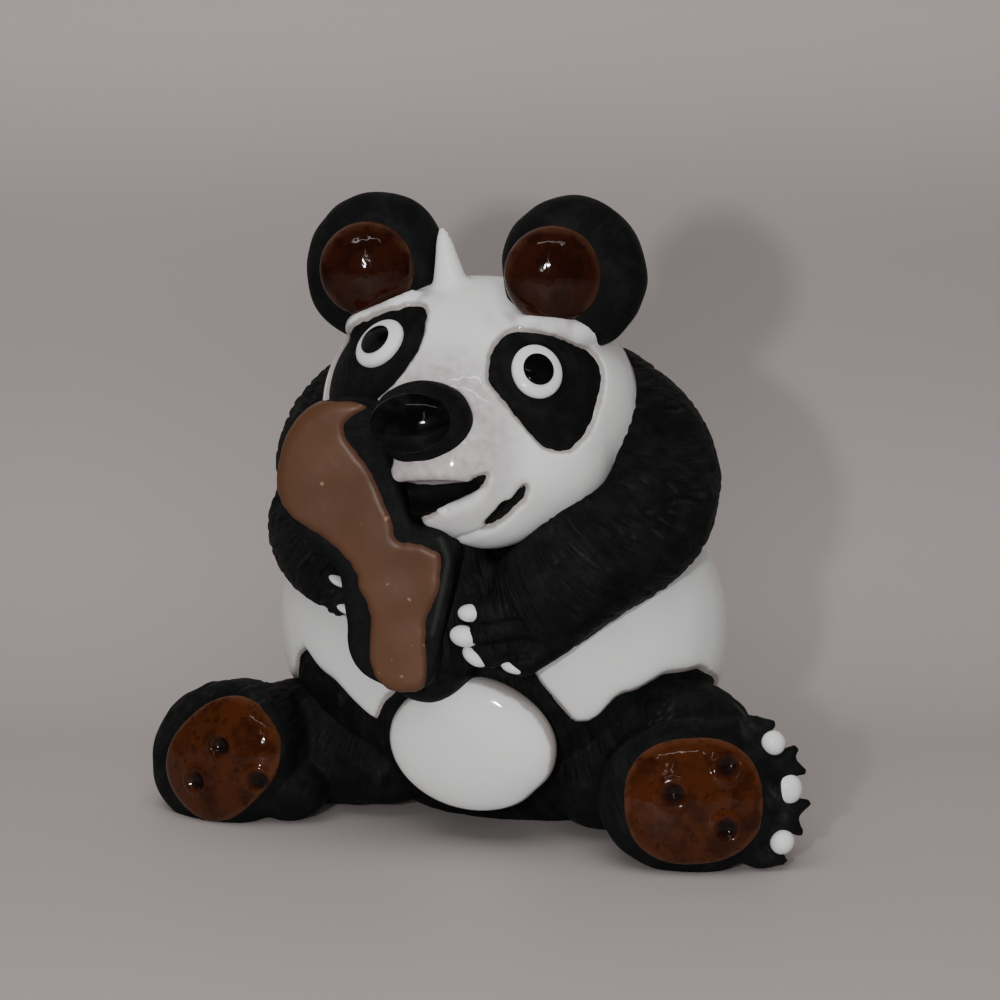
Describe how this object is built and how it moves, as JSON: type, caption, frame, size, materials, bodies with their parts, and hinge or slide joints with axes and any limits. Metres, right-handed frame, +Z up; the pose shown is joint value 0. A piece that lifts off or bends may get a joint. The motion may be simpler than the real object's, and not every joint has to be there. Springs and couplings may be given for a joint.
{
  "type": "panda figurine",
  "caption": "Seated panda of carved and glazed clay, legs apart with soles to the front, holding a brown shoot to its mouth with both hands.",
  "frame": {"origin": "on the underside, the table plane, at the middle of the flat seat", "axes": "+Z up, the panda looks along -Y, its left side is at +X"},
  "size_m": [0.0698, 0.0449, 0.0644],
  "materials": {
    "black_clay": "matte unglazed, finely scored",
    "white_glaze": "thick gloss",
    "brown_glaze": "thick mottled gloss",
    "shoot_glaze": "satin with pale specks",
    "black_glaze": "gloss"
  },
  "bodies": {
    "root": {"panda_figurine": "black_clay"}
  },
  "joints": []
}
